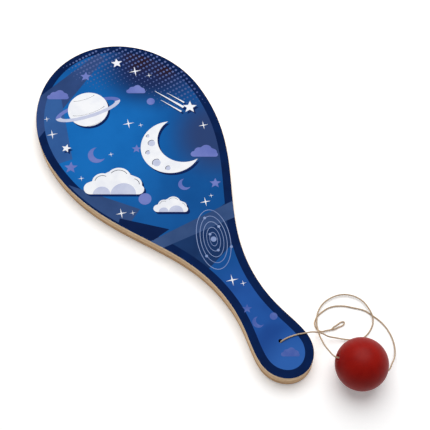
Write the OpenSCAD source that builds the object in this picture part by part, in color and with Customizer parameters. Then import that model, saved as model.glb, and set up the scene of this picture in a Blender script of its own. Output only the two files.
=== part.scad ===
// Paddle ball game: a plywood paddle with a printed face, an elastic cord through
// a hole in its grip, and a rubber ball that the cord is strung through.
// Millimetres, lying flat. Origin on the underside, under the middle of the widest
// line of the blade. +Y runs along the paddle to the blade's tip and +Z is up.

/* [Paddle outline] */
// Length from the grip's end to the blade's tip
paddle_length = 303; // [240:1:370]
// Width of the blade at its widest line
blade_width = 127.5; // [100:0.5:154]
// Distance from the blade's widest line to its tip
crown_length = 75; // [60:0.5:90]
// Width of the grip at its waist
waist_width = 25.4; // [20:0.2:31]
// Distance from the grip's end to its waist
waist_from_end = 66.5; // [58:0.5:80]
// Width of the rounded end of the grip
grip_end_width = 37.8; // [33:0.2:46]
// Distance from the grip's end to the widest place of that end
grip_end_length = 21; // [17:0.5:26]

/* [Plywood and print] */
// Thickness of each sanded outer ply
outer_ply = 2; // [1.6:0.1:3]
// Thickness of each of the three inner plies
inner_ply = 2.6; // [2:0.1:3.2]
// Thickness of the printed film on the front
film = 0.2; // [0.1:0.05:0.4]
// Bare rim of wood that the film leaves round its edge
film_inset = 0.3; // [0.2:0.1:2]

/* [Handle hole] */
// Diameter of the hole for the cord
hole_d = 2.8; // [2.6:0.1:3.4]
// Distance of the hole from the grip's end
hole_from_end = 27; // [24:0.5:33]
// Distance of the hole from the middle line
hole_side = 1; // [-2:0.5:2]
// Diameter of the recess for the knot in the underside
recess_d = 8; // [7:0.5:12]

/* [Cord] */
// Diameter of the elastic cord
cord_d = 1; // [0.8:0.05:1.2]
// Diameter of the stopper knot under the grip
stopper_d = 4; // [3.7:0.1:4.4]
// Diameter of the knot that closes the eye at the cord's far end
end_knot_d = 2; // [1.9:0.1:2.6]
// Length of the stopper knot's cut end past the knot
cut_end = 1.2; // [0.8:0.1:1.5]

/* [Ball] */
// Diameter of the rubber ball
ball_d = 35; // [29:0.5:42]
// Diameter of the bore through the ball
bore_d = 1.6; // [1.5:0.1:1.8]
// Diameter of the bore's flared mouths
mouth_d = 4.6; // [4:0.2:6]
// Depth of the flare at each mouth
mouth_depth = 2.4; // [1.5:0.1:3.5]
// Direction of the bore's entry mouth, seen from above, from +X towards +Y
bore_turn = 139; // [132:1:145]
// Rise of the bore towards its entry mouth
bore_rise = 20; // [14:1:24]

/* [Hidden] */

wood_top = 2 * outer_ply + 3 * inner_ply;
top = wood_top + film;

// Heights of the joints between the plies, from the underside up
back_top = outer_ply;
lower_cross_top = back_top + inner_ply;
core_top = lower_cross_top + inner_ply;
upper_cross_top = core_top + inner_ply;

// The knot's recess is as deep as the two lowest plies
recess_depth = lower_cross_top;

// Stations along Y
tip_y = crown_length;
end_y = tip_y - paddle_length;
waist_y = end_y + waist_from_end;
grip_wide_y = end_y + grip_end_length;

// How far each curve runs straight on from its end before it bends away
grip_pull = 13;
waist_pull_back = 20.5;
throat_pull = 63;
shoulder_pull = 72;

// Facets of each stretch of half the outline, and of round pieces
end_steps = 18;
grip_steps = 18;
throat_steps = 36;
crown_steps = 32;
round_fn = 64;

// ---- Outline of the paddle ----

function bezier(a, b, c, d, t) =
    pow(1 - t, 3) * a + 3 * pow(1 - t, 2) * t * b + 3 * (1 - t) * t * t * c + t * t * t * d;

function curve(a, b, c, d, steps) =
    [for (i = [0:steps - 1]) bezier(a, b, c, d, i / steps)];

// Right half of the outline, from the grip's end round to the blade's tip
right_half = concat(
    [for (i = [0:end_steps - 1])
        let (angle = -90 + 90 * i / end_steps)
        [grip_end_width / 2 * cos(angle), grip_wide_y + grip_end_length * sin(angle)]],
    curve([grip_end_width / 2, grip_wide_y], [grip_end_width / 2, grip_wide_y + grip_pull],
          [waist_width / 2, waist_y - waist_pull_back], [waist_width / 2, waist_y], grip_steps),
    curve([waist_width / 2, waist_y], [waist_width / 2, waist_y + throat_pull],
          [blade_width / 2, -shoulder_pull], [blade_width / 2, 0], throat_steps),
    [for (i = [0:crown_steps])
        let (angle = 90 * i / crown_steps)
        [blade_width / 2 * cos(angle), crown_length * sin(angle)]]
);

half_count = len(right_half);

// The whole outline: the right half, then the left half back down
outline = concat(
    right_half,
    [for (i = [half_count - 2:-1:1]) [-right_half[i].x, right_half[i].y]]
);

function unit(v) = v / norm(v);

// The outline drawn in by a distance along its own normals
function drawn_in(points, by) =
    let (n = len(points))
    [for (i = [0:n - 1])
        let (along = unit(points[(i + 1) % n] - points[(i + n - 1) % n]))
        points[i] + by * [-along.y, along.x]];

// ---- Handle hole and cord ----

hole_x = hole_side;
hole_y = end_y + hole_from_end;

cord_r = cord_d / 2;
cord_sides = 8;
ring_gap = 4.8;

// The cord rises in the hole close to its wall, and bends over its upper rim
// to lie just above the print
off_wall = 0.1;
rise_at = (hole_d / 2 - cord_r - off_wall) * [-0.6, -0.8];
over = top + cord_r + off_wall;
bend_r = 2;
rise_top = over - bend_r;

// The stopper knot hangs just under the lower rim of the narrow hole
stopper_r = stopper_d / 2;
rim_reach = cord_r + off_wall;
stopper_z = recess_depth - 0.1 - sqrt(pow(stopper_r, 2) - pow(rim_reach, 2));

ball_r = ball_d / 2;
ball_middle = [34, -43, ball_r];
bore_way = [
    cos(bore_rise) * cos(bore_turn),
    cos(bore_rise) * sin(bore_turn),
    sin(bore_rise)
];
// The straight stretch of cord in the ball ends this far outside its skin
stand_out = 0.6;
entry = ball_middle + (ball_r + stand_out) * bore_way;
exit = ball_middle - (ball_r + stand_out) * bore_way;

end_knot_at = [37.4, -8.9, end_knot_d / 2];

// A point of the cord where it lies on the table, or a number of its own
// diameters above there
function laid(x, y, level = 0) = [x, y, cord_r + 0.05 + level * cord_d];

// Points that the cord follows, measured from the hole in X and Y and from the
// table in Z: over the grip and its edge, then down to the table behind the ball
rise = [rise_at.x, rise_at.y, rise_top];
lead_points = [
    rise,
    rise + bend_r * [0.15, 0, 0.5],
    rise + bend_r * [0.5, 0, 0.85],
    rise + bend_r * [1, 0, 1],
    [6, -1, over],
    [12, -2.5, over],
    [17, -4.5, over],
    [20.5, -5.7, top],
    [24, -7, top - 2.2],
    [27.5, -9, top - 4.8],
    [30.5, -12.5, 5],
    [35, -16, 3.2],
    [41, -20.5, 1.5],
    laid(47, -24, 0.4),
    laid(53, -25)
];

// Round the outer loop, under the lead, and up to the ball's entry mouth
loop_points = [
    laid(53, -25),
    laid(59, -23),
    laid(63.5, -19.5, 0.5),
    laid(65.5, -15.5, 1.5),
    laid(66.5, -10, 1.5),
    laid(66.5, -4, 1),
    laid(63.5, 2.5, 1),
    laid(58, 7.5, 1),
    laid(50, 10, 1),
    laid(42.5, 9.5, 1),
    laid(37, 7, 1.5),
    laid(33, 3.5, 1.5),
    laid(30, -0.5, 1.6),
    laid(28, -4.5, 2.8),
    [26, -8.5, 5.7],
    [24, -13, 10],
    entry + [0.2, 12, -6.7],
    entry + [-0.7, 7, -2.9],
    entry + [-1, 2.5, -0.3],
    entry + [-0.7, 1, 0.2],
    entry
];

// Out of the ball's exit mouth, round the inner loop and on to the end knot
tail_points = [
    exit,
    exit + [1, -0.4, -0.5],
    exit + [2, -0.2, -1],
    [54, -51.5, 7.7],
    [59.5, -48, 4.2],
    laid(64, -43, 1.2),
    laid(67, -37, 0.2),
    laid(68.5, -29.5),
    laid(68, -22),
    laid(66, -15.5),
    laid(63.5, -9.5),
    laid(58.5, -4),
    laid(52.5, 1.5),
    laid(45, 5),
    laid(38, 5),
    laid(32.5, 3.5),
    laid(29.5, 1),
    laid(28.5, -2.5, 0.1),
    laid(29.5, -6, 0.4),
    laid(33, -7.5, 0.4),
    end_knot_at + [-0.8, 0.2, -0.1]
];

// The eye, out of the end knot and back into it
eye_points = [
    end_knot_at + [0.7, 0.6, -0.1],
    laid(41.5, -8),
    laid(45.6, -8),
    laid(46.5, -8.4),
    laid(46.9, -9.1),
    laid(46.5, -9.8),
    laid(45.6, -10.2),
    laid(41.5, -9.9),
    end_knot_at + [0.7, -0.6, -0.1]
];

// Directions in which the cord starts and ends at its joints
upright = [0, 0, 1];
onward = [1, 0.15, 0];
to_knot = [1, -0.1, 0];
eye_out = [1, 0.3, 0];
eye_back = [-1, 0.3, 0];

// Direction of the cord at a point, which leans towards the nearer neighbour
function heading(points, i, first, last) =
    i == 0 ? unit(first)
    : i == len(points) - 1 ? unit(last)
    : let (back = points[i] - points[i - 1], ahead = points[i + 1] - points[i])
      unit(unit(back) * norm(ahead) + unit(ahead) * norm(back));

// A point on the smooth curve from a to b that has the given directions there
function smooth(a, b, way_a, way_b, t) =
    let (reach = norm(b - a))
    (2 * t * t * t - 3 * t * t + 1) * a + (t * t * t - 2 * t * t + t) * reach * way_a
    + (3 * t * t - 2 * t * t * t) * b + (t * t * t - t * t) * reach * way_b;

// Places of a cord's rings: its points, and more between two that are far apart
function rings_along(points, first, last) = concat(
    [for (i = [0:len(points) - 2])
        let (steps = max(1, round(norm(points[i + 1] - points[i]) / ring_gap)),
             way = heading(points, i, first, last),
             next_way = heading(points, i + 1, first, last))
        for (k = [0:steps - 1]) smooth(points[i], points[i + 1], way, next_way, k / steps)],
    [points[len(points) - 1]]
);

function square_to(v, way) = unit(v - (v * way) * way);

// A side direction for each ring, carried along the cord so that it doesn't twist
function sides_of(ways) =
    [for (i = 0, s = square_to([0.3, 1, 0.2], ways[0]);
          i < len(ways);
          i = i + 1, s = i < len(ways) ? square_to(s, ways[i]) : s) s];

// Least gap between the loops and the rest of the cord, measured between rings
function off_stretch(p, a, b) =
    let (ab = b - a, t = min(1, max(0, ((p - a) * ab) / (ab * ab)))) norm(p - a - t * ab);

function least_gap(one, other, apart) =
    min([for (i = [0:len(one) - 2], j = [0:len(other) - 2])
        if (j >= i + apart)
            for (k = [0:3])
                off_stretch(one[i] + k / 4 * (one[i + 1] - one[i]), other[j], other[j + 1])])
    - cord_d;

union() {
    lead_rings = rings_along(lead_points, upright, onward);
    before_ball = concat([for (i = [0:len(lead_rings) - 2]) lead_rings[i]],
                         rings_along(loop_points, onward, -bore_way));
    after_ball = rings_along(tail_points, -bore_way, to_knot);
    echo(least_gap_of_cord = min(least_gap(before_ball, before_ball, 5),
                                 least_gap(after_ball, after_ball, 5),
                                 least_gap(before_ball, after_ball, -len(before_ball)),
                                 least_gap(after_ball, before_ball, -len(after_ball))));
}

// A cord's tube through its points, closed at both ends
module tube(points, first, last) {
    rings = rings_along(points, first, last);
    ways = [for (i = [0:len(rings) - 1]) heading(rings, i, first, last)];
    sides = sides_of(ways);
    n = cord_sides;
    count = len(rings);
    corners = [for (i = [0:count - 1], k = [0:n - 1])
        let (angle = 360 * (k + 0.5) / n)
        rings[i] + cord_r * (cos(angle) * sides[i] + sin(angle) * cross(ways[i], sides[i]))];
    skin = [for (i = [0:count - 2], k = [0:n - 1], half = [0, 1])
        let (a = i * n + k, b = i * n + (k + 1) % n)
        half == 0 ? [a, b + n, b] : [a, a + n, b + n]];
    start_cap = [for (k = [1:n - 2]) [0, k, k + 1]];
    end_cap = [for (k = [1:n - 2])
        let (base = (count - 1) * n)
        [base, base + k + 1, base + k]];
    polyhedron(points = corners, faces = concat(skin, start_cap, end_cap));
}

module from_hole() {
    translate([hole_x, hole_y, 0]) children();
}

// A shape built along +Z, laid from a point along a direction
module along(point, way) {
    translate(point)
        rotate([0, acos(way.z), atan2(way.y, way.x)])
            children();
}

// ---- Pieces ----

// The through hole for the cord and the knot's recess below it
module handle_bore() {
    from_hole() {
        translate([0, 0, -1])
            cylinder(d = hole_d, h = top + 2, $fn = round_fn);
        translate([0, 0, -1])
            cylinder(d = recess_d, h = recess_depth + 1, $fn = round_fn);
    }
}

// One ply of the board between two heights
module ply(low, high) {
    difference() {
        translate([0, 0, low])
            linear_extrude(high - low)
                polygon(outline);
        handle_bore();
    }
}

module face_ply() {
    color("burlywood") ply(upper_cross_top, wood_top);
}

module upper_cross_ply() {
    color("tan") ply(core_top, upper_cross_top);
}

module core_ply() {
    color("burlywood") ply(lower_cross_top, core_top);
}

module lower_cross_ply() {
    color("tan") ply(back_top, lower_cross_top);
}

module back_ply() {
    color("burlywood") ply(0, back_top);
}

// The printed film, drawn in from the edge of the wood
module front_print() {
    color("royalblue")
        difference() {
            translate([0, 0, wood_top])
                linear_extrude(film)
                    polygon(drawn_in(outline, film_inset));
            handle_bore();
        }
}

// The knot that holds the cord up against the roof of its recess
module stopper_knot() {
    color("tan")
        from_hole()
            translate([rise_at.x, rise_at.y, stopper_z]) {
                sphere(d = stopper_d, $fn = round_fn);
                rotate([0, 90, 50])
                    cylinder(d = cord_d, h = stopper_r + cut_end, $fn = round_fn);
            }
}

// The upright stretch of cord in the handle hole
module cord_in_handle() {
    low = stopper_z + sqrt(pow(stopper_r, 2) - pow(cord_r, 2));
    color("tan")
        from_hole()
            translate([rise_at.x, rise_at.y, low])
                cylinder(r = cord_r, h = rise_top - low, $fn = round_fn);
}

module cord_lead() {
    color("tan") from_hole() tube(lead_points, upright, onward);
}

module cord_loops() {
    color("tan") from_hole() tube(loop_points, onward, -bore_way);
}

// The straight stretch of cord through the ball
module cord_in_ball() {
    color("tan")
        from_hole()
            along(exit, bore_way)
                cylinder(r = cord_r, h = norm(entry - exit), $fn = round_fn);
}

module cord_tail_loops() {
    color("tan") from_hole() tube(tail_points, -bore_way, to_knot);
}

// The small knot that closes the eye
module end_knot() {
    color("tan")
        from_hole()
            translate(end_knot_at)
                sphere(d = end_knot_d, $fn = round_fn);
}

module end_eye() {
    color("tan") from_hole() tube(eye_points, eye_out, eye_back);
}

// The ball, with a bore from side to side whose mouths are flared
module ball() {
    color("firebrick")
        from_hole()
            difference() {
                translate(ball_middle)
                    sphere(d = ball_d, $fn = 128);
                along(ball_middle - ball_d * bore_way, bore_way)
                    cylinder(d = bore_d, h = 2 * ball_d, $fn = round_fn);
                for (side = [-1, 1])
                    along(ball_middle + side * (ball_r - mouth_depth) * bore_way, side * bore_way)
                        cylinder(d1 = bore_d, d2 = mouth_d, h = mouth_depth, $fn = round_fn);
            }
}

face_ply();
upper_cross_ply();
core_ply();
lower_cross_ply();
back_ply();
front_print();
stopper_knot();
cord_in_handle();
cord_lead();
cord_loops();
cord_in_ball();
cord_tail_loops();
end_knot();
end_eye();
ball();
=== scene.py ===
"""Looks of the paddle ball game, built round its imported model.

Shapes are drawn in millimetres, and `finished` brings them into the model's metres.
"""

import math

import bmesh
import bpy
from mathutils import Matrix, Vector
from mathutils.geometry import interpolate_bezier


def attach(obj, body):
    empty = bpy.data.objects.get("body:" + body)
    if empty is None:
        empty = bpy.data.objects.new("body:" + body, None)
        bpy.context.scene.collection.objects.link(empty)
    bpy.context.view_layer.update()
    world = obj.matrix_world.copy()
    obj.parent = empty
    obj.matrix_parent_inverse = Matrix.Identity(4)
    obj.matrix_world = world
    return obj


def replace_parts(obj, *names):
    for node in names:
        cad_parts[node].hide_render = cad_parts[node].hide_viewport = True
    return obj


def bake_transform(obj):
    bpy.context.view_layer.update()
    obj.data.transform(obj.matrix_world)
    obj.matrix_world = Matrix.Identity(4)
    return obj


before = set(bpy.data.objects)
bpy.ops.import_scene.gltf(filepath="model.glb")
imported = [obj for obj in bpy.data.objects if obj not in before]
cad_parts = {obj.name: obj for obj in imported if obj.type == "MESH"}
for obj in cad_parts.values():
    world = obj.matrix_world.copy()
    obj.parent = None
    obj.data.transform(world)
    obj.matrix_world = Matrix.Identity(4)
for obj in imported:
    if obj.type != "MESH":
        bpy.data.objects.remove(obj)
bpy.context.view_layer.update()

# ---- Plies of the board ----
# Five sheets of poplar veneer, glued with the grain of each across that of the next,
# then sawn to the paddle's shape as one and sanded. A 2.8 mm hole for the cord goes
# through the grip, and the two lowest sheets have an 8 mm recess there for its knot.

mm = 0.001
wood_top = 11.8
hole_at = Vector((1, -201, 0))
hole_radius = 1.4
recess_radius = 4
half_width, tip = 63.75, 75  # the blade is widest at y = 0
grip_half, grip_end = 18.9, -228
bow = 0.5523  # length of a handle that rounds a quarter of an ellipse, against its radius

# The outline's right half, from the grip to the blade: each place with the handles
# before and after it
right_side = [
    ((grip_half, -207), (grip_half, -207 - 21 * bow), (grip_half, -194)),
    ((12.7, -161.5), (12.7, -182), (12.7, -98.5)),
    ((half_width, 0), (half_width, -72), (half_width, tip * bow)),
]


def board_shape(inset=0, hole=0):
    """The board's flat shape, drawn in from its edge by inset, with the cord's hole of that radius."""
    left_side = [
        tuple((-x, y) for x, y in (place, after, before))
        for place, before, after in reversed(right_side)
    ]
    knots = [
        ((0, grip_end), (-grip_half * bow, grip_end), (grip_half * bow, grip_end)),
        *right_side,
        ((0, tip), (half_width * bow, tip), (-half_width * bow, tip)),
        *left_side,
    ]
    curve = bpy.data.curves.new("board_outline", "CURVE")
    curve.dimensions = "2D"
    curve.fill_mode = "NONE"
    curve.resolution_u = 32
    line = curve.splines.new("BEZIER")
    line.bezier_points.add(len(knots) - 1)
    line.use_cyclic_u = True
    for point, (place, before, after) in zip(line.bezier_points, knots):
        point.handle_left_type = point.handle_right_type = "FREE"
        point.co = (*place, 0)
        point.handle_left = (*before, 0)
        point.handle_right = (*after, 0)
    bm = bmesh.new()
    bm.from_mesh(bpy.data.meshes.new_from_object(bpy.data.objects.new("board_outline", curve)))
    bmesh.ops.contextual_create(bm, geom=bm.edges[:])
    if inset:
        rim = bmesh.ops.inset_region(
            bm, faces=bm.faces[:], thickness=inset, use_even_offset=True, use_boundary=True)
        bmesh.ops.delete(bm, geom=rim["faces"], context="FACES")
    if hole:
        bmesh.ops.delete(bm, geom=bm.faces[:], context="FACES_ONLY")
        bmesh.ops.create_circle(bm, segments=48, radius=hole, matrix=Matrix.Translation(hole_at))
        bmesh.ops.triangle_fill(bm, edges=bm.edges[:], use_beauty=True)
    return bm


def thicken(bm, low, high):
    """Gives a flat shape its thickness, from height low to height high, and returns its upper faces."""
    bmesh.ops.recalc_face_normals(bm, faces=bm.faces[:])
    for v in bm.verts:
        v.co.z = low
    raised = bmesh.ops.extrude_face_region(bm, geom=bm.faces[:])["geom"]
    raised_verts = [g for g in raised if isinstance(g, bmesh.types.BMVert)]
    bmesh.ops.translate(bm, vec=(0, 0, high - low), verts=raised_verts)
    bmesh.ops.recalc_face_normals(bm, faces=bm.faces[:])
    return [g for g in raised if isinstance(g, bmesh.types.BMFace)]


def ease(bm, faces, radius):
    """Rounds the rim of a group of faces, as sandpaper does; a hair's breadth takes one facet."""
    facets = 3 if radius > 0.1 else 1
    for k in range(facets):
        start = math.pi / 2 * k / facets
        end = math.pi / 2 * (k + 1) / facets
        inward = radius * (math.cos(start) - math.cos(end))
        upward = radius * (math.sin(end) - math.sin(start))
        bmesh.ops.inset_region(
            bm, faces=faces, thickness=inward, depth=upward, use_even_offset=True, use_boundary=True)


def finished(name, bm, material, body, sharp=35):
    """Makes a mesh that was drawn in millimetres into a piece, which rides on a body if one is named."""
    bmesh.ops.scale(bm, vec=(mm, mm, mm), verts=bm.verts[:])
    mesh = bpy.data.meshes.new(name)
    bm.to_mesh(mesh)
    bm.free()
    mesh.shade_smooth()
    mesh.set_sharp_from_angle(angle=math.radians(sharp))
    mesh.materials.append(material)
    piece = bpy.data.objects.new(name, mesh)
    bpy.context.scene.collection.objects.link(piece)
    if body:
        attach(piece, body)
    return piece


def colour(red, green, blue):
    """A colour as a screen shows it, 0 to 255, in the linear values that a shader takes."""
    parts = [c / 255 for c in (red, green, blue)]
    return (*[c / 12.92 if c < 0.04045 else ((c + 0.055) / 1.055) ** 2.4 for c in parts], 1)


def node(tree, kind, values=(), **fields):
    """A new node, with its fields set and each input either linked, if given a socket, or written."""
    new = tree.nodes.new(kind)
    for field, value in fields.items():
        setattr(new, field, value)
    for socket, value in dict(values).items():
        if isinstance(value, bpy.types.NodeSocket):
            tree.links.new(value, new.inputs[socket])
        else:
            new.inputs[socket].default_value = value
    return new


def finish_of(name, roughness, specular):
    """A new material, its tree to wire, and its shader."""
    material = bpy.data.materials.new(name)
    material.use_nodes = True
    shader = material.node_tree.nodes["Principled BSDF"]
    shader.inputs["Roughness"].default_value = roughness
    shader.inputs["Specular IOR Level"].default_value = specular
    return material, material.node_tree, shader


def maths(tree, operation, first, second=0.0):
    """One sum on two values, or on the first alone."""
    return node(tree, "ShaderNodeMath", {0: first, 1: second}, operation=operation).outputs[0]


def place_on(tree):
    """Where on the piece a point lies, in metres."""
    return node(tree, "ShaderNodeTexCoord").outputs["Object"]


def spots(tree, scale, detail, stretch=(1, 1, 1), rough=0.5):
    """Cloudy noise, 0 to 1, at so many patches to the metre."""
    spread = node(tree, "ShaderNodeMapping", {"Vector": place_on(tree), "Scale": stretch}).outputs[0]
    noise = {"Vector": spread, "Scale": scale, "Detail": detail, "Roughness": rough}
    return node(tree, "ShaderNodeTexNoise", noise).outputs[0]


def between(tree, share, first, second):
    """A colour that goes from the first to the second as share goes from 0 to 1."""
    return node(tree, "ShaderNodeMix", {0: share, 6: first, 7: second}, data_type="RGBA").outputs[2]


def span(tree, value, low, high, to_low=0.0, to_high=1.0):
    """A value brought smoothly from one range into another, and held at its ends."""
    ends = {0: value, 1: low, 2: high, 3: to_low, 4: to_high}
    return node(tree, "ShaderNodeMapRange", ends, interpolation_type="SMOOTHSTEP").outputs[0]


def rough_skin(tree, shader, height, depth, strength):
    """A fine relief of so many metres, from a 0 to 1 height."""
    bump = node(tree, "ShaderNodeBump", {"Height": height, "Distance": depth, "Strength": strength})
    tree.links.new(bump.outputs[0], shader.inputs["Normal"])


def bare_wood(name, grain, pale, deep, cut):
    """Sanded veneer whose fibres run along grain, with darker cut ends.

    It is painted near black round the wall of the cord's hole, as shade down the hole.
    """
    material, tree, shader = finish_of(name, roughness=0.72, specular=0.3)
    fibre = tuple(1 if g else 26 for g in grain)
    streaks = spots(tree, 26, 5, fibre, rough=0.62)
    threads = spots(tree, 110, 3, fibre)
    face = between(tree, span(tree, streaks, 0.36, 0.68), pale, deep)
    face = between(tree, span(tree, threads, 0.5, 0.74, 0, 0.65), face, deep)

    outward = node(tree, "ShaderNodeTexCoord").outputs["Normal"]
    along = node(tree, "ShaderNodeVectorMath", {0: outward, 1: grain}, operation="DOT_PRODUCT")
    either_end = maths(tree, "ABSOLUTE", along.outputs["Value"])
    face = between(tree, span(tree, either_end, 0.45, 0.95, 0, 0.75), face, cut)

    # Painted shade: the wall of the cord's hole goes near black, as the hole's own shade
    level = node(tree, "ShaderNodeVectorMath", {0: place_on(tree), 1: (1, 1, 0)}, operation="MULTIPLY")
    two_places = {0: level.outputs[0], 1: hole_at * mm}
    from_hole = node(tree, "ShaderNodeVectorMath", two_places, operation="DISTANCE").outputs["Value"]
    hole_shade = span(tree, from_hole, 1.45 * mm, 1.7 * mm, 1, 0)
    tree.links.new(between(tree, hole_shade, face, colour(52, 36, 26)), shader.inputs["Base Color"])
    rough_skin(tree, shader, threads, depth=0.00008, strength=0.5)
    return material


# Each sheet has its lower and upper height, the radius of its hole, the way of its
# grain, its slot, how far its lower and upper rims are sanded off, and its pale, deep
# and cut-end colours
lengthways, crossways = (0, 1, 0), (1, 0, 0)
# The sheets are coloured darker from the face down: partly the veneers' own difference, partly painted
# shade towards the floor
sheets = [
    ("back_ply", 0, 2, recess_radius, lengthways, "veneer", 0.6, 0.05,
     (234, 196, 152), (214, 170, 126), (200, 152, 108)),
    ("lower_cross_ply", 2, 4.6, recess_radius, crossways, "cross_veneer", 0.05, 0.05,
     (236, 198, 154), (216, 174, 130), (204, 158, 114)),
    ("core_ply", 4.6, 7.2, hole_radius, lengthways, "veneer", 0.05, 0.05,
     (250, 218, 174), (234, 194, 148), (224, 182, 136)),
    ("upper_cross_ply", 7.2, 9.8, hole_radius, crossways, "cross_veneer", 0.05, 0.05,
     (254, 226, 188), (240, 202, 160), (232, 194, 150)),
    ("face_ply", 9.8, wood_top, hole_radius, lengthways, "veneer", 0.05, 0.2,
     (252, 228, 194), (238, 206, 166), (228, 192, 150)),
]
for name, low, high, hole, grain, slot, lower_rim, upper_rim, *shades in sheets:
    bm = board_shape(hole=hole)
    upper = thicken(bm, low + lower_rim, high - upper_rim)
    lower = [f for f in bm.faces if f.normal.z < -0.9]
    ease(bm, upper, upper_rim)
    ease(bm, lower, lower_rim)
    wood = bare_wood(name + "_wood", grain, *(colour(*shade) for shade in shades))
    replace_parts(finished("veneer_" + name, bm, wood, "paddle"), name)

# ---- Printed film ----
# A thin satin film, printed in blues and trimmed a hair inside the edge of the wood.
# The navy border is its ground, and each further ink lies on it a few hundredths of a
# millimetre proud.

bare_rim = 0.2
border_width = 6
beam_inset = 1.6  # of the beams that run out over the border and stop short of the edge
motif_foot = 11.86  # motifs start inside the sky's layer
mid_print = 11.9  # the height that places on the print are measured at
upright = -32.6  # how far the motifs are turned, to stand upright as the paddle is seen


def cloudy_ink(name, patch=90, low=0.3, high=0.7):
    """A satin ink on a film that follows the wood, with a cloudiness of 0 to 1 to colour it by."""
    material, tree, shader = finish_of(name, roughness=0.5, specular=0.025)
    cloud = span(tree, spots(tree, patch, 4), low, high)
    rough_skin(tree, shader, spots(tree, 40, 3, (20, 1, 20)), depth=0.00003, strength=0.2)
    return material, tree, shader, cloud


def ink(name, main, shade, *cloudiness):
    """A printed colour that wavers between two shades."""
    material, tree, shader, cloud = cloudy_ink(name, *cloudiness)
    tree.links.new(between(tree, cloud, colour(*main), colour(*shade)), shader.inputs["Base Color"])
    return material


def printed(name, bm, foot, top, material):
    """Makes one layer of the print a piece on the board, from height foot to height top."""
    thicken(bm, foot, top)
    return finished(name, bm, material, "paddle")


def near(tree, x, y, full, none):
    """1 within full millimetres of a place on the print, falling to 0 at none millimetres from it."""
    place = Vector((x, y, mid_print)) * mm
    away = node(tree, "ShaderNodeVectorMath", {0: place_on(tree), 1: place}, operation="DISTANCE")
    return span(tree, away.outputs["Value"], full * mm, none * mm, 1, 0)


def cut_off(bm, place, off):
    """Takes away what lies beyond a line through place, on the side that off points to."""
    whole = bm.verts[:] + bm.edges[:] + bm.faces[:]
    bmesh.ops.bisect_plane(bm, geom=whole, plane_co=(*place, 0), plane_no=(*off, 0), clear_outer=True)


navy = ink("navy_border_ink", (0, 31, 80), (0, 25, 69))
ground = printed("print_border", board_shape(bare_rim, hole_radius), wood_top, 11.84, navy)
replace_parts(ground, "front_print")

# The sky inside the border: bright blue in the middle, slate to the right, nearly black
# in smoky patches under the dots at the tip, and royal blue down the grip
sky, tree, shader, cloud = cloudy_ink("sky_ink", 30)
blue = between(tree, cloud, colour(18, 88, 158), colour(12, 78, 145))
bright = between(tree, cloud, colour(20, 109, 187), colour(14, 99, 175))
broad_patches = span(tree, spots(tree, 34, 2), 0.35, 0.65)
royal = between(tree, broad_patches, colour(34, 86, 164), colour(28, 72, 146))
patches = maths(tree, "MAXIMUM", near(tree, 39, 46, 3, 18), near(tree, 51, 28, 2, 15))
wisps = span(tree, spots(tree, 90, 3), 0.3, 0.52)
smoke = maths(tree, "MULTIPLY", patches, wisps)
for share, tint in [
    (near(tree, -26, 2, 22, 84), bright),
    (near(tree, 54, -44, 14, 44), colour(42, 64, 112)),
    (near(tree, 46, 38, 18, 50), colour(22, 38, 84)),
    (smoke, colour(34, 20, 38)),
    (near(tree, 0, -190, 30, 74), royal),
    (near(tree, 0, -228, 14, 36), colour(46, 98, 176)),
]:
    blue = between(tree, share, blue, tint)
tree.links.new(blue, shader.inputs["Base Color"])
printed("print_sky", board_shape(border_width, hole_radius), 11.82, 11.88, sky)

# Broad straight beams over sky and border. Each is the board's own shape, drawn in from
# its edge, with its top height and two shades, and cut off along lines, each given as a
# place on the line and the way that is taken off
beams = [
    ("print_beam_crown", bare_rim, 11.905, (50, 76, 130), (42, 66, 114),
     [((-61, 24), (0.43, -0.9)), ((14, 72), (0.97, 0.2)), ((-20, 61), (-0.2, 1))]),
    ("print_beam_left", border_width, 11.915, (54, 98, 160), (46, 86, 146),
     [((-46, 0), (0.94, -0.34)), ((-60, -2), (-0.2, -1)), ((-40, 52), (0.1, 1))]),
    ("print_beam_low", beam_inset, 11.905, (52, 80, 130), (44, 68, 114),
     [((-52, -33), (0.8, 0.6)), ((-60, -14), (-0.2, 1)), ((-41, -73), (0.5, -1))]),
    ("print_beam_throat", bare_rim, 11.905, (60, 86, 132), (48, 74, 120),
     [((-30, -92), (0.06, 1)), ((-28, -101), (-0.12, -1))]),
    ("print_patch_throat", border_width, 11.9, (18, 44, 88), (24, 56, 104),
     [((-28, -101), (-0.12, 1)), ((0, -128), (0.3, -1))]),
    ("print_wedge_low", beam_inset, 11.91, (2, 24, 66), (6, 32, 80),
     [((-36, -72), (0.72, 0.69)), ((-44, -66), (-0.7, 0.7)), ((-30, -92), (0.1, -1))]),
]
for name, inset, top, main, shade, cuts in beams:
    bm = board_shape(inset)
    for place, off in cuts:
        cut_off(bm, place, off)
    printed(name, bm, 11.83, top, ink(name + "_ink", main, shade, 40))


def ramp(value, start, end):
    """0 at start and 1 at end, in a straight line between, and held beyond them."""
    return min(1, max(0, (value - start) / (end - start)))


# Halftone dots round the tip, in rows square to the paddle. They shrink towards the
# middle and at both ends of their sweep
row_gap, dot_gap = 3.7, 2.84
largest_dot, smallest_dot = 0.92, 0.26
bm = bmesh.new()
for row in range(-8, 21):
    for place in range(-6, 23):
        spot = Vector((place * dot_gap, row * row_gap, 0))
        out = math.hypot(spot.x / half_width, spot.y / tip)  # 1 at the board's edge
        bearing = math.degrees(math.atan2(spot.y, spot.x))
        size = largest_dot * ramp(out, 0.36, 0.78) * ramp(bearing, -20, 0) * ramp(bearing, 106, 92)
        if size > smallest_dot and out < 0.985 - size / tip:
            bmesh.ops.create_circle(
                bm, cap_ends=True, segments=10, radius=size, matrix=Matrix.Translation(spot))
printed("print_dots", bm, 11.85, 11.93, ink("dot_ink", (96, 112, 164), (74, 92, 146), 26, 0.35, 0.65))


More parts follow.
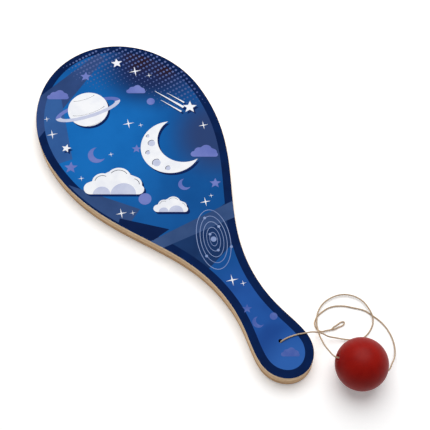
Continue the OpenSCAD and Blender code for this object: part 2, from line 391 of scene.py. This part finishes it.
def arc(x, y, radius, start, end, steps=24, flat=1.0):
    """Points along an arc about a centre, from one bearing to another in degrees, squashed by flat."""
    bearings = (math.radians(start + (end - start) * i / steps) for i in range(steps + 1))
    return [(x + radius * math.cos(a), y + flat * radius * math.sin(a)) for a in bearings]


def disc(x, y, radius, flat=1.0):
    """The outline of a round, or of an oval where flat is under 1."""
    return arc(x, y, radius, 0, 360, 48, flat)[:-1]


def star(tips, outer, inner):
    """The outline of a star with its first tip up."""
    corners = ((inner if i % 2 else outer, math.radians(90 + 180 * i / tips)) for i in range(2 * tips))
    return [(r * math.cos(a), r * math.sin(a)) for r, a in corners]


def crescent(radius, bite, shift):
    """The outline of a moon that lacks a circle of radius bite, set off by shift."""
    bitten = 35  # the bite's bearing, to the upper right
    reach = math.degrees(math.acos((radius**2 + shift**2 - bite**2) / (2 * radius * shift)))
    inner = math.degrees(math.acos((bite**2 + shift**2 - radius**2) / (2 * bite * shift)))
    bite_x = shift * math.cos(math.radians(bitten))
    bite_y = shift * math.sin(math.radians(bitten))
    back = arc(0, 0, radius, bitten + reach, bitten + 360 - reach, 64)
    return back + arc(bite_x, bite_y, bite, bitten + 180 + inner, bitten + 180 - inner, 48)[1:-1]


def stroke(x, y, radius, start, end, width, flat=1.0):
    """The outline of a line drawn along an arc."""
    outside = arc(x, y, radius + width / 2, start, end, 16, flat)
    return outside + arc(x, y, radius - width / 2, end, start, 16, flat)


def drawn(bm, outlines, at, size=1.0, turn=upright, keep=0):
    """Adds a flat shape to bm; where outlines nest, the inner is a hole.

    keep is 1 or -1 for only the half of the shape on its upper or its lower side.
    """
    curve = bpy.data.curves.new("motif", "CURVE")
    curve.dimensions = "2D"
    curve.fill_mode = "NONE"
    for outline in outlines:
        line = curve.splines.new("POLY")
        line.points.add(len(outline) - 1)
        line.use_cyclic_u = True
        for point, (x, y) in zip(line.points, outline):
            point.co = (x * size, y * size, 0, 1)
    shape = bmesh.new()
    shape.from_mesh(bpy.data.meshes.new_from_object(bpy.data.objects.new("motif", curve)))
    bmesh.ops.triangle_fill(shape, edges=shape.edges[:], use_beauty=True)
    if keep:
        cut_off(shape, (0, 0), (0, -keep))
        bmesh.ops.remove_doubles(shape, verts=shape.verts[:], dist=0.002)
    turned = Matrix.Translation((*at, 0)) @ Matrix.Rotation(math.radians(turn), 4, "Z")
    bmesh.ops.transform(shape, matrix=turned, verts=shape.verts[:])
    part = bpy.data.meshes.new("motif")
    shape.to_mesh(part)
    shape.free()
    bm.from_mesh(part)


# The night sky's white shapes: a moon, a planet, clouds, and stars of which one falls
moon_at, planet_at = (18, -34), (-17, 27)
shadow_shift = (0.3, -2.2)
cloud_outline = (
    arc(-13, 0, 4.2, -90, -245) + arc(-6.5, 4.2, 6, 175, 75) + arc(3.2, 6.4, 7.6, 140, 22)
    + arc(12, 2.6, 5.4, 70, -5) + arc(15.5, -0.9, 3.3, 50, -90)
)
white_clouds = [((-35, -41), 1.2), ((-9, -77), 0.68)]
streak = [(0, 0.9), (-26, 0.15), (-26, -0.15), (0, -0.9)]
white_shapes = [  # outline, place, size, turn
    (crescent(22, 19.4, 11.5), moon_at, 1, upright),
    (disc(0, 0, 15), planet_at, 1, upright),
    *((cloud_outline, at, size, upright) for at, size in white_clouds),
    (star(5, 5.4, 2.3), (48, -12), 1, upright),
    (streak, (44, -9.6), 1, -66),
    (streak, (40.6, -12), 0.72, -66),
    (streak, (46.6, -6.2), 0.6, -66),
    (star(5, 4.4, 1.9), (22, 52), 1, -24),
    (star(5, 3.6, 1.6), (-47, 6), 1, -44),
]
sparkles = [  # place, size
    (-50, 22, 0.9), (30, 38, 1.05), (37, 29, 0.5), (-47, 36, 0.5), (2, 0, 0.95), (9, -6, 0.45),
    (48, -31, 0.8), (-40, -62, 0.9), (-33, -66, 0.45), (15, -86, 0.85), (21, -84, 0.4),
    (-2, -147, 0.95), (3, -153, 0.5), (-22, -16, 0.45), (-50, -22, 0.5),
]
shadows = bmesh.new()
whites = bmesh.new()
for outline, (x, y), size, turn in white_shapes:
    drawn(shadows, [outline], (x + shadow_shift[0], y + shadow_shift[1]), size, turn)
    drawn(whites, [outline], (x, y), size, turn)
for x, y, size in sparkles:
    drawn(whites, [star(4, 4.6, 0.7)], (x, y), size, upright + 12)
printed("print_shadows", shadows, motif_foot, 11.945, ink("shadow_ink", (4, 34, 92), (2, 28, 80)))
white_ink = ink("white_ink", (248, 249, 252), (238, 240, 247), 120)
printed("print_white_shapes", whites, motif_foot, 11.97, white_ink)

# Fainter shapes in lavender, with the far half of the planet's ring, and greyer ones on
# the grip
ring = [disc(0, 0, 25, 0.3), disc(0, 0, 21, 0.22)]
ring_tilt = -12
lavenders = bmesh.new()
for outline, at, size in [
    (cloud_outline, (-31, 49), 0.45), (star(5, 5, 2.2), (-52, -10), 1),
    (crescent(6.5, 5.6, 3.4), (-31, -11), 1), (disc(0, 0, 4.6), (-20, -61), 1),
    (cloud_outline, (35, -52), 0.55), (star(5, 4.2, 1.9), (29, -77), 1),
    (disc(0, 0, 3), (26, 8), 1), (star(5, 4.4, 2), (-4, 54), 1),
    (crescent(4.6, 4, 2.4), (10, -66), 1), (star(5, 3.6, 1.6), (-4, -22), 1),
    (disc(0, 0, 2.2), (-47, -34), 1), (cloud_outline, (21, 22), 0.4),
]:
    drawn(lavenders, [outline], at, size)
drawn(lavenders, ring, planet_at, 1, ring_tilt, 1)
lavender = ink("lavender_ink", (118, 130, 198), (98, 112, 184), 60)
printed("print_lavender_shapes", lavenders, motif_foot, 11.95, lavender)

greys = bmesh.new()
for outline, at, size in [
    (star(5, 3.4, 1.5), (-5, -170), 1), (crescent(4, 3.4, 2.2), (-4, -182), 1),
    (disc(0, 0, 2.6), (7, -184), 1), (cloud_outline, (1, -212), 0.34),
]:
    drawn(greys, [outline], at, size)
grey_lavender = ink("grey_lavender_ink", (92, 112, 182), (72, 96, 172), 200)
printed("print_grip_shapes", greys, motif_foot, 11.92, grey_lavender)

# What lies on the white shapes: the planet's ring, the moon's hollows and the soft side
# of each cloud in pale grey, and their fine lines in near black
details = bmesh.new()
lines = bmesh.new()
drawn(details, ring, planet_at, 1, ring_tilt, -1)
bands = [(0, 12.5, 10, 215, 325), (0, 0.5, 13.6, 205, 335), (-1, -11.5, 9, 222, 318)]
for x, y, reach, start, end in bands:
    drawn(lines, [stroke(x, y, reach, start, end, 0.5, 0.32)], planet_at, 1, ring_tilt)
hollows = [(-14, 3, 2.5), (-16.5, -5, 1.5), (-10, -13.5, 2.9), (-1.5, -18, 1.7), (-17, 9, 1.1)]
for x, y, size in hollows:
    drawn(details, [disc(x, y, size)], moon_at)
    drawn(lines, [stroke(x, y, size + 0.25, 60, 210, 0.4)], moon_at)
curls = [(-6.5, 4.2, 4.4, 170, 60), (3.2, 6.4, 6, 140, 35), (12, 2.6, 3.8, 80, 0)]
for at, size in white_clouds:
    drawn(details, [arc(6.5, -4.2, 7.6, 0, 180) + arc(-6.4, -4.2, 5.2, 0, 180)], at, size)
    for x, y, reach, start, end in curls:
        drawn(lines, [stroke(x, y, reach, start, end, 0.34)], at, size)
pale_grey = ink("pale_grey_ink", (206, 211, 232), (192, 198, 224), 120)
printed("print_details", details, 11.88, 12.0, pale_grey)
near_black = ink("near_black_ink", (22, 28, 56), (14, 18, 40), 120)
printed("print_fine_lines", lines, 11.88, 11.99, near_black)

# Thin pale orbits on the throat, with their planets: the reach of each, and its bearing
orbits_at, orbits_turn = (4, -114), 68
orbits = bmesh.new()
planets = bmesh.new()
for reach in (5.5, 9.5, 14, 18.5, 23.5):
    drawn(orbits, [disc(0, 0, reach, 0.5), disc(0, 0, reach - 0.42, 0.49)], orbits_at, 1, orbits_turn)
for reach, bearing in [(5.5, 40), (9.5, 200), (14, 310), (18.5, 130), (18.5, 20), (23.5, 250)]:
    a = math.radians(bearing)
    drawn(planets, [disc(reach * math.cos(a), 0.5 * reach * math.sin(a), 1)], orbits_at, 1, orbits_turn)
drawn(planets, [disc(0, 0, 2)], orbits_at, 1, orbits_turn)
pale_line = ink("pale_line_ink", (150, 168, 208), (126, 146, 194), 80)
printed("print_orbits", orbits, motif_foot, 11.96, pale_line)
printed("print_orbit_planets", planets, motif_foot, 11.98, pale_line)

# ---- Ball ----
# A solid moulded rubber ball of 35 mm, matt red. A bore goes straight through it for
# the cord, and both of its mouths are flared.

ball_radius = 17.5
ball_centre = Vector((34, -43, ball_radius))  # from the hole in the grip
turn, lift = math.radians(139), math.radians(20)
bore_way = Vector((math.cos(lift) * math.cos(turn), math.cos(lift) * math.sin(turn), math.sin(lift)))

# Half of the ball's section, bore upright: the bore, the flare of its mouth, the round
# from mouth to mouth, and the other flare
bm = bmesh.new()
bore_and_flare = [(0.8, 15.1), (1.1, 15.8), (1.7, 16.6), (2.15, 17.15)]
flare_radius = 2.3
facets = 72
first = math.asin(flare_radius / ball_radius) + 0.02
bearings = (first + (math.pi - 2 * first) * i / facets for i in range(facets + 1))
section = bore_and_flare + [(ball_radius * math.sin(a), ball_radius * math.cos(a)) for a in bearings]
section += [(x, -z) for x, z in reversed(bore_and_flare)]
corners = [bm.verts.new((x, 0, z)) for x, z in section]
for a, b in zip(corners, corners[1:] + corners[:1]):
    bm.edges.new((a, b))
bmesh.ops.spin(
    bm, geom=bm.verts[:] + bm.edges[:], cent=(0, 0, 0), axis=(0, 0, 1), angle=2 * math.pi, steps=120,
    use_merge=True)
bmesh.ops.remove_doubles(bm, verts=bm.verts[:], dist=0.0001)
bmesh.ops.recalc_face_normals(bm, faces=bm.faces[:])
tilted = Matrix.Translation(hole_at + ball_centre) @ bore_way.to_track_quat("Z", "Y").to_matrix().to_4x4()
bmesh.ops.transform(bm, matrix=tilted, verts=bm.verts[:])

red_rubber, tree, shader = finish_of("matt_red_rubber", roughness=0.45, specular=0.12)
mottle = span(tree, spots(tree, 160, 4), 0.3, 0.7)
bloom = span(tree, spots(tree, 1400, 2), 0.45, 0.8, 0, 0.35)
skin = between(tree, mottle, colour(150, 15, 5), colour(138, 8, 2))
tree.links.new(between(tree, bloom, skin, colour(159, 30, 15)), shader.inputs["Base Color"])
rough_skin(tree, shader, spots(tree, 2600, 2), depth=0.00004, strength=0.3)
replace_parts(finished("rubber_ball", bm, red_rubber, "ball", sharp=60), "ball")

# ---- Elastic cord ----
# One thread of tan natural rubber, 1 mm thick and about 0.36 m long. It hangs from its
# knot under the grip, goes up the hole, over the grip and round behind the ball, straight
# through the ball, and once more round to the small eye at its end.

cord_width = 1.0
cord_steps = 10  # from each point of a route to the next
tan_rubber, tree, shader = finish_of("tan_rubber_thread", roughness=0.75, specular=0.15)
patches = span(tree, spots(tree, 180, 3), 0.3, 0.7)
fleck = span(tree, spots(tree, 1500, 2), 0.5, 0.8, 0, 0.5)
skin = between(tree, patches, colour(201, 179, 152), colour(187, 163, 135))
tree.links.new(between(tree, fleck, skin, colour(168, 143, 115)), shader.inputs["Base Color"])
rough_skin(tree, shader, spots(tree, 3000, 2), depth=0.00003, strength=0.4)


def cord_tube(points, first, last):
    """A round cord through points measured from the hole, and its centre line in metres.

    first and last are the directions that it starts and ends in.
    """
    places = [hole_at + Vector(p) for p in points]
    ways = [Vector(first).normalized()]
    for a, b, c in zip(places, places[1:], places[2:]):
        before, after = b - a, c - b
        way = before.normalized() * after.length + after.normalized() * before.length
        ways.append(way.normalized())
    ways.append(Vector(last).normalized())
    curve = bpy.data.curves.new("route", "CURVE")
    curve.dimensions = "3D"
    curve.resolution_u = cord_steps
    curve.bevel_depth = cord_width / 2
    curve.bevel_resolution = 4
    curve.use_fill_caps = True
    line = curve.splines.new("BEZIER")
    line.bezier_points.add(len(places) - 1)
    for i, (point, place, way) in enumerate(zip(line.bezier_points, places, ways)):
        back = (place - places[i - 1]).length if i else 1
        on = (places[i + 1] - place).length if i + 1 < len(places) else 1
        point.handle_left_type = point.handle_right_type = "FREE"
        point.co = place
        point.handle_left = place - way * back / 3
        point.handle_right = place + way * on / 3
    bm = bmesh.new()
    bm.from_mesh(bpy.data.meshes.new_from_object(bpy.data.objects.new("route", curve)))
    bmesh.ops.remove_doubles(bm, verts=bm.verts[:], dist=0.001)
    bmesh.ops.recalc_face_normals(bm, faces=bm.faces[:])
    centre = [places[0] * mm]
    for a, b in zip(line.bezier_points, line.bezier_points[1:]):
        step = interpolate_bezier(a.co, a.handle_right, b.handle_left, b.co, cord_steps + 1)
        centre += [p * mm for p in step[1:]]
    return bm, centre


# The lead: out of the hole, over the grip and its edge, and down to the table behind
# the ball.
hole_rim = Vector((-0.48, -0.64, 10.6))
lead_points = [
    hole_rim, hole_rim + Vector((0.3, 0, 1)), hole_rim + Vector((1, 0, 1.7)), hole_rim + Vector((2, 0, 2)),
    (6, -1, 12.6), (12, -2.5, 12.6), (17, -4.5, 12.6), (20.5, -5.7, 12), (24, -7, 9.8), (27.5, -9, 7.2),
    (30.5, -12.5, 5), (35, -16, 3.2), (41, -20.5, 1.5), (47, -24, 0.95), (53, -25, 0.55),
]
bm, centre = cord_tube(lead_points, (0, 0, 1), (1, 0.15, 0))
cord_lead = finished("cord_from_the_grip", bm, tan_rubber, None, sharp=60)
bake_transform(cord_lead)
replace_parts(cord_lead, "cord_lead")

# The outer loop: from the lead's end round, under the lead and up to the ball's mouth.
mouth_out = 18.1  # how far from the ball's middle the cord passes into the air
mouth = ball_centre + mouth_out * bore_way
loop_points = [
    (53, -25, 0.55), (59, -23, 0.55), (63.5, -19.5, 1.05), (65.5, -15.5, 2.05), (66.5, -10, 2.05),
    (66.5, -4, 1.55), (63.5, 2.5, 1.55), (58, 7.5, 1.55), (50, 10, 1.55), (42.5, 9.5, 1.55), (37, 7, 2.05),
    (33, 3.5, 2.05), (30, -0.5, 2.15), (28, -4.5, 3.35), (26, -8.5, 5.7), (24, -13, 10),
    mouth + Vector((0.2, 12, -6.7)), mouth + Vector((-0.7, 7, -2.9)), mouth + Vector((-1, 2.5, -0.3)),
    mouth + Vector((-0.7, 1, 0.2)), mouth,
]
bm, centre = cord_tube(loop_points, (1, 0.15, 0), -bore_way)
cord_loop = finished("cord_outer_loop", bm, tan_rubber, None, sharp=60)
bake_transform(cord_loop)
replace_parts(cord_loop, "cord_loops")

# The eye: the cord's end, doubled back and tied with a small knot
knot_at = Vector((37.4, -8.9, 1))
eye_points = [
    knot_at + Vector((0.7, 0.6, -0.1)), (41.5, -8, 0.55), (45.6, -8, 0.55), (46.5, -8.4, 0.55),
    (46.9, -9.1, 0.55), (46.5, -9.8, 0.55), (45.6, -10.2, 0.55), (41.5, -9.9, 0.55),
    knot_at + Vector((0.7, -0.6, -0.1)),
]
bm, _ = cord_tube(eye_points, (1, 0.3, 0), (-1, 0.3, 0))
eye = finished("cord_end_eye", bm, tan_rubber, "coil", sharp=60)
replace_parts(eye, "end_eye")


def overhand(at, reach, thick, flat):
    """A tight overhand knot about a point: one knotted round of cord that reaches so far out."""
    curve = bpy.data.curves.new("route", "CURVE")
    curve.dimensions = "3D"
    curve.resolution_u = 5
    curve.bevel_depth = thick / 2
    curve.bevel_resolution = 2
    line = curve.splines.new("BEZIER")
    points = 24
    line.bezier_points.add(points - 1)
    line.use_cyclic_u = True
    size = (reach - thick / 2) / 3
    for i, point in enumerate(line.bezier_points):
        t = 2 * math.pi * i / points
        knotted = Vector((
            math.sin(t) + 2 * math.sin(2 * t), math.cos(t) - 2 * math.cos(2 * t), -flat * math.sin(3 * t)))
        point.handle_left_type = point.handle_right_type = "AUTO"
        point.co = at + size * knotted
    bm = bmesh.new()
    bm.from_mesh(bpy.data.meshes.new_from_object(bpy.data.objects.new("route", curve)))
    bmesh.ops.recalc_face_normals(bm, faces=bm.faces[:])
    return bm


bm = overhand(hole_at + knot_at, reach=1.0, thick=0.7, flat=1.4)
small_knot = finished("cord_end_knot", bm, tan_rubber, "coil", sharp=60)
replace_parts(small_knot, "end_knot")

# The inner loop: out of the ball's far mouth, round and back to the small knot
outlet = ball_centre - mouth_out * bore_way
tail_points = [
    outlet, outlet + Vector((1, -0.4, -0.5)), outlet + Vector((2, -0.2, -1)), (54, -51.5, 7.7),
    (59.5, -48, 4.2), (64, -43, 1.75), (67, -37, 0.75), (68.5, -29.5, 0.55), (68, -22, 0.55),
    (66, -15.5, 0.55), (63.5, -9.5, 0.55), (58.5, -4, 0.55), (52.5, 1.5, 0.55), (45, 5, 0.55),
    (38, 5, 0.55), (32.5, 3.5, 0.55), (29.5, 1, 0.55), (28.5, -2.5, 0.65), (29.5, -6, 0.95),
    (33, -7.5, 0.95), knot_at + Vector((-0.8, 0.2, -0.1)),
]
bm, centre = cord_tube(tail_points, -bore_way, (1, -0.1, 0))
cord_tail = finished("cord_inner_loop", bm, tan_rubber, None, sharp=60)
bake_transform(cord_tail)
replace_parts(cord_tail, "cord_tail_loops")

# The stopper: an overhand knot drawn tight up against the roof of its recess, with a
# stub of its cut end that points away
stopper_at = hole_at + Vector((-0.48, -0.64, 2.59))
cut_way = Vector((math.cos(math.radians(50)), math.sin(math.radians(50)), 0))
pointing = cut_way.to_track_quat("Z", "Y").to_matrix().to_4x4()
cut_end = Matrix.Translation(stopper_at + cut_way * 1.7) @ pointing
bm = overhand(stopper_at, reach=2.0, thick=0.95, flat=1.5)
bmesh.ops.create_cone(
    bm, cap_ends=True, segments=16, radius1=cord_width / 2, radius2=cord_width / 2, depth=2.9,
    matrix=cut_end)
stopper = finished("cord_stopper_knot", bm, tan_rubber, "paddle", sharp=60)
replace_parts(stopper, "stopper_knot")

# The stretches hidden in the grip and in the ball keep the model's own shape
for name in ("cord_in_handle", "cord_in_ball"):
    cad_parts[name].data.materials.clear()
    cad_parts[name].data.materials.append(tan_rubber)

# ---- Floor, light and camera ----
# A plain white floor that keeps its soft shadows, a bright even room and one wide soft
# lamp high up behind the paddle.


def seen(tree):
    """1 where the camera looks, straight or by way of a gloss or a clear piece, and 0 for other light."""
    rays = node(tree, "ShaderNodeLightPath").outputs
    glossy = maths(tree, "MAXIMUM", rays["Is Camera Ray"], rays["Is Glossy Ray"])
    return maths(tree, "MAXIMUM", glossy, rays["Is Transmission Ray"])


# The floor glows a little where it is seen, and more as it runs out of the lamp's light
floor_paint, tree, shader = finish_of("white_floor", roughness=0.9, specular=0.1)
shader.inputs["Base Color"].default_value = (0.95, 0.95, 0.95, 1)
shader.inputs["Emission Color"].default_value = (1, 1, 1, 1)
away = node(tree, "ShaderNodeVectorMath", {0: place_on(tree)}, operation="LENGTH").outputs["Value"]
growing = span(tree, away, 0.3, 1.1, 0.24, 0.9)
tree.links.new(maths(tree, "MULTIPLY", seen(tree), growing), shader.inputs["Emission Strength"])
bm = bmesh.new()
bmesh.ops.create_circle(bm, cap_ends=True, segments=64, radius=2.5)  # metres
floor_mesh = bpy.data.meshes.new("floor")
bm.to_mesh(floor_mesh)
bm.free()
floor_mesh.materials.append(floor_paint)
floor = bpy.data.objects.new("floor", floor_mesh)
floor.location = (0, -0.1, -0.0002)  # a hair under the board, which lies on it
bpy.context.scene.collection.objects.link(floor)

room_light, backdrop_white = 0.14, 1.0
room = bpy.data.worlds.new("room")
room.use_nodes = True
bpy.context.scene.world = room
tree = room.node_tree
strength = node(tree, "ShaderNodeMapRange", {0: seen(tree), 3: room_light, 4: backdrop_white}).outputs[0]
tree.links.new(strength, tree.nodes["Background"].inputs["Strength"])
tree.nodes["Background"].inputs["Color"].default_value = (1, 1, 1, 1)

lamp = bpy.data.lights.new("soft_lamp", "AREA")
lamp.shape = "DISK"
lamp.size = 1.3
lamp.energy = 13.9
hung_lamp = bpy.data.objects.new("soft_lamp", lamp)
hung_lamp.location = (0.265, 0.19, 1.034)
lamp_way = Vector((0.02, -0.1, 0)) - hung_lamp.location
hung_lamp.rotation_euler = lamp_way.to_track_quat("-Z", "Y").to_euler()
bpy.context.scene.collection.objects.link(hung_lamp)

# The camera stands where the paddle's and the ball's outlines fit the photograph's
photo_side = 430  # pixels
camera = bpy.data.cameras.new("camera")
camera.sensor_width = 36
camera.lens = 83.72
camera.shift_x = -0.5 / photo_side
camera.shift_y = 0.5 / photo_side
side = Vector((0.8426, -0.5385, 0)).normalized()
ahead = Vector((0.2475, 0.3873, -0.8881)).normalized()
facing = Matrix((side, side.cross(ahead), -ahead)).transposed().to_4x4()
viewpoint = bpy.data.objects.new("camera", camera)
viewpoint.matrix_world = Matrix.Translation((-0.15926, -0.3719, 0.63744)) @ facing
bpy.context.scene.collection.objects.link(viewpoint)
bpy.context.scene.camera = viewpoint

bpy.context.scene.view_settings.view_transform = "Standard"
